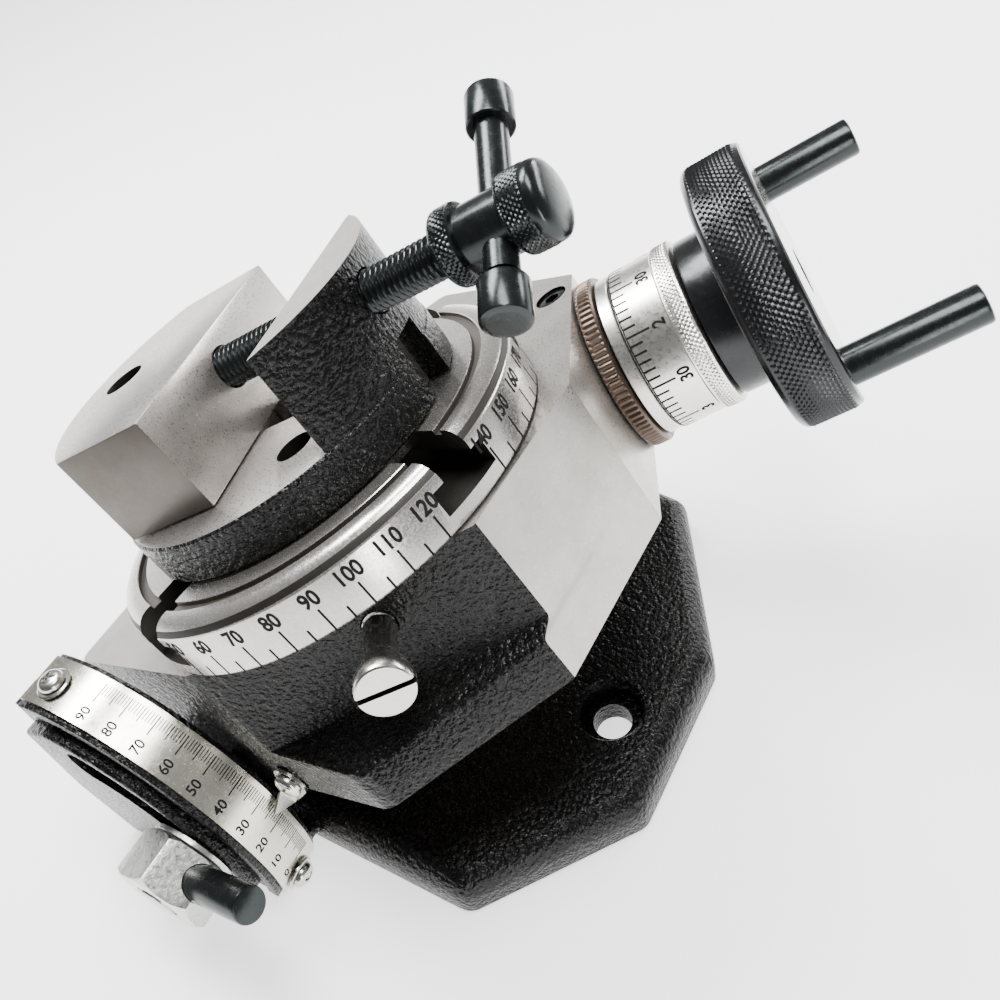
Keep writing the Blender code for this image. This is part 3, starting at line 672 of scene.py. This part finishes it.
stud = merge([rod(3.55, -62.4, -38.4, 36, 0.5), thread(3.9, 0.45, 1.25, -62.2, -46.0)])
done("tilt_lock_stud_threaded", stud, "tilting_body", M_STEEL, at=STUD @ ALONG_Y, replaces=("tilt_lock_stud",))
done("tilt_lock_washer_flat", tube(4.3, 7.5, -53.2, -52.3, 64), "tilting_body", M_NUT, at=STUD @ ALONG_Y,
     replaces=("tilt_lock_washer",))
AF = 15.0
nut = prism(circle(AF / 2 / math.cos(math.pi / 6), 6), -62.0, -53.5, "XZ", 0.12, 2)
cone = lathe([(0, -62.1), (7.2, -62.1), (7.7, -61.9), (8.9, -61.0), (8.9, -54.4), (7.6, -53.4), (0, -53.4)], 72)
nut = boolean(nut, moved(cone, ALONG_Y), "INTERSECT")
cut(nut, prism(circle(4.0, 36), -63, -52, "XZ"), moved(rod(3.05, 5.2, 20, 40), place(0, -56.9, 0) @ ALONG_X))
done("tilt_lock_nut_hex", nut, "tilt_lock", M_NUT, at=STUD, replaces=("tilt_lock_nut",), angle=22)
lever = lathe([(0, 5.4), (2.95, 5.4), (2.95, 22.6), (2.82, 22.98), (2.5, 23.1), (0, 23.1)], 48)
done("lock_lever_rod", lever, "tilt_lock", M_OXIDE, at=STUD @ place(0, -56.9, 0) @ ALONG_X, replaces=("lock_lever",))

# table lock screw
lock = lathe([(0, 12.7), (1.6, 12.7), (2.05, 13.4), (2.05, 29.0), (2.5, 30.0), (2.6, 30.4), (2.6, 37.4), (2.75, 37.8), (4.15, 41.8), (4.3, 42.2),
              (4.3, 43.8), (4.15, 44.15), (3.9, 44.3), (0, 44.32)], 56)
cut(lock, box(-6, 6, -0.42, 0.42, 43.3, 46))
lock = merge([lock, thread(2.55, 0.35, 0.8, 24.0, 31.5, 28)])
done("table_lock_screw_slotted", lock, "table_lock", [M_ZINC, M_SLOT], at=BODY @ LOCK @ turn(78, "Z"), replaces=("table_lock_screw",),
     choose=lambda c, n: 1 if 43.2 < c.z < 44.25 and abs(c.y) < 0.46 else 0)
sset = rod(2.75, -8.4, -0.35, 40, 0.3)
cut(sset, prism(circle(1.45, 6), -4, 1))
done("sleeve_set_screw_socket", sset, "tilting_body", M_OXIDE, at=BODY @ place(17.5, 47.0, 0), replaces=("sleeve_set_screw",))

# ---------------------------------------------------------------- worm sleeve, ring, dial
bush = lathe([(4.2, 14.3), (7.0, 14.3), (7.0, 46.7), (14.45, 46.7), (14.7, 46.9), (14.7, 48.85), (14.55, 49.0), (4.2, 49.0)], 120, hollow=True)
done("worm_bush_flanged", bush, "tilting_body", M_CHROME, at=WORM, replaces=("worm_bush",))
n_ridge, sub = 86, 6
rows = []
for z, e in ((43.5, 0.0), (43.75, 0.7), (44.0, 1.0), (45.7, 1.0), (45.95, 0.7), (46.1, 0.0)):
    ring = []
    for i in range(n_ridge * sub):
        s = abs(((i / sub) % 1.0) - 0.5) * 2
        ring.append(15.8 - 0.32 * (1 - min(1.0, s * 1.7)) * e - 0.1 * (1 - e))
    rows.append((z, ring))
ring_ob = turned([(7.3, 43.2), (15.3, 43.2), (15.65, 43.35)], rows, [(15.6, 46.2), (15.35, 46.4), (7.3, 46.4)], n_ridge * sub, 7.3)
done("take_up_ring_ridged", ring_ob, "take_up", M_BROWN, at=WORM, replaces=("take_up_ring",), angle=28)

rows, n = knurl_band(15.15, 57.5, 60.4, 0.92, 0.3, 4, ends=0.25)
dial = turned([(9.3, 49.3), (14.6, 49.3), (14.85, 49.5), (14.85, 57.1), (15.0, 57.35)], rows, [(14.9, 60.6), (14.5, 60.8), (9.3, 60.8)], n, 9.3)
done("graduated_dial_body", dial, "dial", M_CHROME, at=WORM, replaces=("graduated_dial",), angle=28)
bits = []
DIAL0 = 141.3 - 4 * 36.0
for k in range(60):
    a = DIAL0 + 6.0 * k
    bits.append(mark(14.85, a, 0.19, 49.5, 53.7 if k % 6 == 0 else 51.8))
bits.append(tube(14.7, 14.88, 49.42, 49.74, 160))
for k in range(10):
    label = "30" if k % 2 else str(k // 2)
    bits.append(wrap(text(label, 2.3, 0.85, 0.025), 14.85, DIAL0 + 36.0 * k, 55.3, "turn_back", 0.035))
done("dial_engraving", merge(bits), "dial", M_INK, at=WORM)

# ---------------------------------------------------------------- handwheel
rows, n = knurl_band(24.06, 68.3, 76.6, 1.25, 0.42, 4, ends=0.4)
wheel = turned([(4.15, 49.6), (9.0, 49.6), (9.0, 61.1), (13.7, 61.1), (14.1, 61.3), (14.2, 61.7), (14.2, 66.3), (14.5, 66.8), (15.2, 67.0),
                (22.0, 67.0), (22.9, 67.15), (23.5, 67.6), (23.8, 68.1)], rows,
               [(23.8, 76.9), (23.55, 77.4), (23.0, 77.7), (22.5, 77.8), (4.15, 77.8)], n, 4.15)
done("handwheel_knurled", wheel, "worm", [M_WHEEL, M_FACE], at=WORM, replaces=("handwheel",), angle=28,
     choose=lambda c, nn: 1 if nn.z > 0.98 and c.z > 77.6 else 0)
HANDLE_RHO, HANDLE_PSI = 19.5, 31.0
for k, tip in ((0, 94.0), (1, 99.3)):
    psi = math.radians(HANDLE_PSI + 180 * k)
    at = place(HANDLE_RHO * math.cos(psi), HANDLE_RHO * math.sin(psi), 0)
    h = lathe([(0, 71.8), (3.25, 71.8), (3.25, tip - 0.7), (3.12, tip - 0.25), (2.8, tip - 0.05), (2.4, tip), (0, tip + 0.02)], 48)
    done("handle_rod_%d" % (k + 1), h, "worm", M_OXIDE, at=WORM @ at, replaces=("handle_pin_%d" % (k + 1),))

# ---------------------------------------------------------------- rotary table
SLOT0 = -6.7
table = lathe([(0, 10.3), (31.9, 10.3), (32.0, 10.2), (32.05, 9.5), (33.6, 9.5), (33.65, 10.2), (33.75, 10.3), (34.7, 10.3), (35.5, 10.15),
               (36.2, 9.8), (36.75, 9.35), (37.1, 8.85), (37.35, 8.5), (37.45, 8.35), (37.5, 8.1), (37.5, 0.6), (37.3, 0.3),
               (12.0, 0.3), (12.0, -11.9), (8.0, -11.9), (8.0, -19.2), (5.0, -19.2), (5.0, -27.6), (4.6, -28.0), (0, -28.0)], 180)
for k in range(4):
    s = turn(SLOT0 + 90 * k, "Z")
    cut(table, moved(box(22.5, 40, -3.2, 3.2, 6.5, 11.5), s), moved(box(22.9, 40, -5.5, 5.5, 2.6, 6.8), s))
cut(table, rod(5.0, 0.0, 11.5, 48))
for v in (-14.0, 14.0):
    cut(table, moved(rod(1.9, 1.2, 11.5, 24), turn(VISE_DIR, "Z") @ place(11.0, v, 0)))
cut(table, box(6.5, 9.5, -1.5, 1.5, -20.5, -12.6))


# Index 1 is painted shade on the groove in the table top; index 2 is painted shade on the T-slot walls.
def table_face(c, n):
    r = math.hypot(c.x, c.y)
    if 31.9 < r < 33.8 and 9.4 < c.z < 10.25:
        return 1
    if r < 37.3 and 2.5 < c.z < 9.3 and r > 22.0:
        return 2
    return 0


done("rotary_table_turned", table, "table", [M_TABLE, M_SHADED_IRON, M_SLOT], at=BODY, replaces=("rotary_table",), choose=table_face,
     angle=24)
bits = []


def in_slot(a, pad_deg):
    for k in range(4):
        d = (a - SLOT0 - 90 * k + 180) % 360 - 180
        if abs(d) < pad_deg:
            return True
    return False


for k in range(72):
    a = 222.3 + 5 * k
    if in_slot(a, 8.9):
        continue
    bits.append(mark(37.5, a, 0.17, 0.4, 4.5 if k % 2 == 0 else 2.55))
for k in range(0, 360, 10):
    a = 222.3 + k
    if in_slot(a, 8.0):
        continue
    bits.append(wrap(text(str(k), 2.75, 0.78, 0.03), 37.5, a, 6.4, "turn", 0.015))
done("rim_engraving", merge(bits), "table", M_INK, at=BODY)

# ---------------------------------------------------------------- vise
DISC_R, DISC_Z0, DISC_Z1, JAW_TOP = 28.8, 10.6, 17.7, 34.0
vise = lathe([(0, DISC_Z0), (28.4, DISC_Z0), (DISC_R, 11.0), (DISC_R, 17.35), (28.6, 17.6), (28.4, DISC_Z1), (0, DISC_Z1)], 128)


def segment(r, g):
    a = math.acos(g / r)
    return [(r * math.cos(-a + 2 * a * i / 40), r * math.sin(-a + 2 * a * i / 40)) for i in range(41)]


join(vise, prism(segment(28.6, 20.0), DISC_Z1 - 1.0, JAW_TOP))
cut(vise, box(-24.0, 19.5, -4.0, 4.0, 8, 19.0), box(-25.0, 7.0, -8.0, 8.0, 9, 13.2))
cut(vise, box(24.6, 32, -3.6, 3.6, 9, 21.0), moved(rod(3.55, 15, 34, 40), place(0, 0, VISE_AXIS_Z) @ ALONG_X))
for v in (-14.0, 14.0):
    cut(vise, moved(rod(1.9, 9, 19, 24), place(11.0, v, 0)), moved(rod(3.1, 14.0, 19, 40), place(11.0, v, 0)))


def vise_face(c, n):
    if n.z > 0.9:
        return 1
    if n.x < -0.98 and 19.5 < c.x < 20.5:
        return 1
    if math.hypot(c.x - 11.0, abs(c.y) - 14.0) < 3.3 and c.z > 13.5:
        return 2
    return 1 if math.hypot(c.x, c.y) < 26.5 and c.z < DISC_Z1 + 0.1 else 0


done("vise_body_painted", vise, "table", [M_PAINT, M_GROUND, M_SLOT], at=VISE, replaces=("vise_body",), choose=vise_face,
     angle=30)
for k, v in enumerate((-14.0, 14.0)):
    c = lathe([(0, 2.0), (1.6, 2.0), (1.6, 14.3), (2.8, 14.3), (2.8, 14.9), (2.5, 15.2), (0, 15.2)], 36)
    cut(c, prism(circle(1.4, 6), 14.6, 18))
    done("vise_clamp_cap_screw_%d" % (k + 1), c, "table", M_OXIDE2, at=VISE @ place(11.0, v, 0),
         replaces=("vise_clamp_screw_%d" % (k + 1),))


def moving_outline():
    r, side, grip = 28.5, 22.0, -0.5
    a0, a1 = math.pi - math.asin(side / r), math.pi + math.asin(side / r)
    arc = [(r * math.cos(a0 + (a1 - a0) * i / 48), r * math.sin(a0 + (a1 - a0) * i / 48)) for i in range(49)]
    return [(grip, -side), (grip, side)] + arc


jaw = prism(moving_outline(), 18.0, JAW_TOP, "XY", 0.22, 2)
join(jaw, box(-14.0, -3.0, -3.7, 3.7, 13.8, 18.6))
cut(jaw, moved(rod(3.55, -14.5, 5, 40), place(0, 0, VISE_AXIS_Z) @ ALONG_X),
    moved(rod(1.9, 12, 36, 24), place(-19.2, 0, 0)), moved(rod(3.5, 26.0, 36, 48), place(-19.2, 0, 0)))
# Index 1 is painted shade on the jaw's side face; index 2 is painted shade in the hold-down screw's counterbore.
done("movable_jaw_ground", jaw, "jaw", [M_GROUND, M_SHADED_IRON, M_SLOT], at=VISE, replaces=("movable_jaw",), angle=30,
     choose=lambda c, n: 1 if n.y < -0.9 and c.y < -20 else (2 if 26.2 < c.z < 33.7 and math.hypot(c.x + 19.2, c.y) < 3.6 and abs(n.z) < 0.5 else 0))


def index_mark(a, zt, zb, r):
    q = math.radians(a)
    d = Vector((math.cos(q), math.sin(q), 0))
    e = Vector((-math.sin(q), math.cos(q), 0))
    return skin([[tuple(d * k + e * w + Vector((0, 0, z))) for w, z in ((-0.8, zb), (0.8, zb), (0.05, zt), (-0.05, zt))]
                 for k in (r - 0.1, r + 0.03)])


done("jaw_index_mark", index_mark(208.0, 23.9, 21.7, 28.5), "jaw", M_INK, at=VISE)
done("disc_index_mark", index_mark(212.0, 17.0, 14.9, 28.8), "table", M_INK, at=VISE)
hold = lathe([(0, 11.1), (1.6, 11.1), (1.6, 26.3), (3.2, 26.3), (3.2, 29.4), (2.9, 29.8), (0, 29.8)], 36)
cut(hold, prism(circle(1.5, 6), 27.8, 31))
done("jaw_hold_down_cap_screw", hold, "jaw", M_OXIDE2, at=VISE @ place(-19.2, 0, 0), replaces=("jaw_hold_down_screw",))

# vise screw: threaded rod, two knurled drums and a plain waist
d1, n1 = knurl_band(5.65, 42.3, 44.9, 0.9, 0.32, 4, ends=0.2)
drum1 = turned([(2.6, 41.3), (4.6, 41.5), (5.3, 41.9), (5.5, 42.2)], d1, [(5.5, 45.0), (5.2, 45.2), (2.6, 45.2)], n1)
d2, n2 = knurl_band(5.7, 52.8, 56.2, 0.9, 0.32, 4, ends=0.2)
drum2 = turned([(2.6, 52.3), (5.2, 52.4), (5.5, 52.65)], d2,
               [(5.55, 56.3), (5.55, 57.0), (5.45, 57.5), (5.1, 58.0), (4.4, 58.4), (3.2, 58.65), (1.6, 58.8), (0.4, 58.85)], n2)
waist = rod(4.6, 45.0, 52.6, 72)
vs = merge([thread(3.25, 0.5, 1.0, -13.8, 41.8, 32, 8), drum1, drum2, waist])
done("vise_screw_threaded", vs, "vise_screw_body", M_OXIDE, at=VAXIS, replaces=("vise_screw",), angle=26)
BAR = VAXIS @ place(0, 0, 49.7) @ turn(27, "Z") @ turn(-90, "X")
bar = lathe([(0, -14.3), (2.1, -14.3), (2.4, -14.0), (2.4, -9.15), (1.9, -9.0), (1.9, -8.35), (2.4, -8.2), (2.4, 21.5), (2.1, 21.8), (0, 21.8)], 40)
done("tommy_bar_turned", bar, "tommy", M_OXIDE, at=BAR, replaces=("tommy_bar",))
for k, (t0, t1, s) in enumerate(((16.8, 23.0, 1), (-15.5, -9.3, -1))):
    cap = lathe([(2.1, 0), (3.25, 0), (3.45, 0.2), (3.5, 0.4), (3.5, 5.6), (3.38, 5.95), (3.0, 6.17), (2.4, 6.2), (0, 6.22)], 48)
    at = place(0, 0, t0) if s > 0 else place(0, 0, t1) @ turn(180, "X")
    done("tommy_cap_turned_%d" % (k + 1), cap, "tommy", M_OXIDE, at=BAR @ at, replaces=("tommy_cap_%d" % (k + 1),))

# ---------------------------------------------------------------- CAD nodes that stay
for name, m in (("hinge_pin", M_STEEL), ("worm_shaft", M_STEEL), ("handwheel_set_screw", M_OXIDE2), ("worm_wheel", M_BRONZE),
                ("wheel_key", M_STEEL), ("spindle_washer", M_NUT), ("spindle_nut", M_NUT), ("jaw_keeper_plate", M_STEEL)):
    ob = NODES[name]
    if not ob.material_slots:
        ob.data.materials.append(m)
    for s in ob.material_slots:
        s.material = m

# ---------------------------------------------------------------- floor, light, camera
bm = bmesh.new()
bmesh.ops.create_grid(bm, x_segments=1, y_segments=1, size=3.0)
floor = link("floor", bm)
floor.location = (0, 0, -0.0002)
fl = Nodes("pale_floor")
fl.set(Roughness=0.9, Emission_Color=(1, 1, 1, 1), Emission_Strength=1.55)
fl.link(fl.ramp(fl.noise(6), [(0.3, grey(0.9)), (0.7, grey(0.93))]), fl.b.inputs["Base Color"])
floor.data.materials.append(fl.m)

world = bpy.data.worlds.new("studio")
bpy.context.scene.world = world
world.use_nodes = True
wt = world.node_tree
wc = wt.nodes.new("ShaderNodeTexCoord")
wx = wt.nodes.new("ShaderNodeSeparateXYZ")
wr = wt.nodes.new("ShaderNodeValToRGB")
wm = wt.nodes.new("ShaderNodeMath")
wm.operation = "MULTIPLY_ADD"
wm.inputs[1].default_value = 0.5
wm.inputs[2].default_value = 0.5
wt.links.new(wc.outputs["Generated"], wx.inputs["Vector"])
wt.links.new(wx.outputs["Y"], wm.inputs[0])
wt.links.new(wm.outputs[0], wr.inputs["Fac"])
wr.color_ramp.elements[0].position = 0.15
wr.color_ramp.elements[0].color = (0.35, 0.36, 0.38, 1)
wr.color_ramp.elements[1].position = 0.7
wr.color_ramp.elements[1].color = (1.0, 1.0, 1.0, 1)
wt.links.new(wr.outputs["Color"], wt.nodes["Background"].inputs["Color"])
world.node_tree.nodes["Background"].inputs["Strength"].default_value = 0.36


def area(name, loc, target, size, power, color=(1, 1, 1)):
    l = bpy.data.lights.new(name, "AREA")
    l.shape = "RECTANGLE"
    l.size, l.size_y = size
    l.energy = power
    l.color = color
    o = bpy.data.objects.new(name, l)
    bpy.context.scene.collection.objects.link(o)
    o.location = loc
    d = Vector(target) - Vector(loc)
    o.rotation_euler = d.to_track_quat("-Z", "Y").to_euler()
    return o


area("key", (-0.26, 0.10, 0.42), (0, 0, 0.03), (0.22, 0.14), 4.2)
area("top", (0.02, 0.05, 0.60), (0, 0, 0.03), (0.30, 0.20), 4.0)
area("fill", (0.42, -0.30, 0.16), (0, 0, 0.03), (0.10, 0.26), 1.1)
area("rim", (0.12, 0.46, 0.22), (0, 0, 0.04), (0.40, 0.08), 2.2)

cam = bpy.data.cameras.new("camera")
cam.sensor_width = 36.0
cam.lens = 37.615
cam.shift_x = 0.01782
cam.shift_y = -0.02586
cam.clip_start = 0.005
camo = bpy.data.objects.new("camera", cam)
bpy.context.scene.collection.objects.link(camo)
right, up, back = Vector((0.8468, 0.4861, -0.216)), Vector((-0.2315, 0.7024, 0.6731)), Vector((0.4789, -0.52, 0.7073))
rot = Matrix((right, up, back)).transposed().to_4x4()
camo.matrix_world = Matrix.Translation((0.0855, -0.0759, 0.1725)) @ rot
bpy.context.scene.camera = camo

bpy.context.view_layer.update()
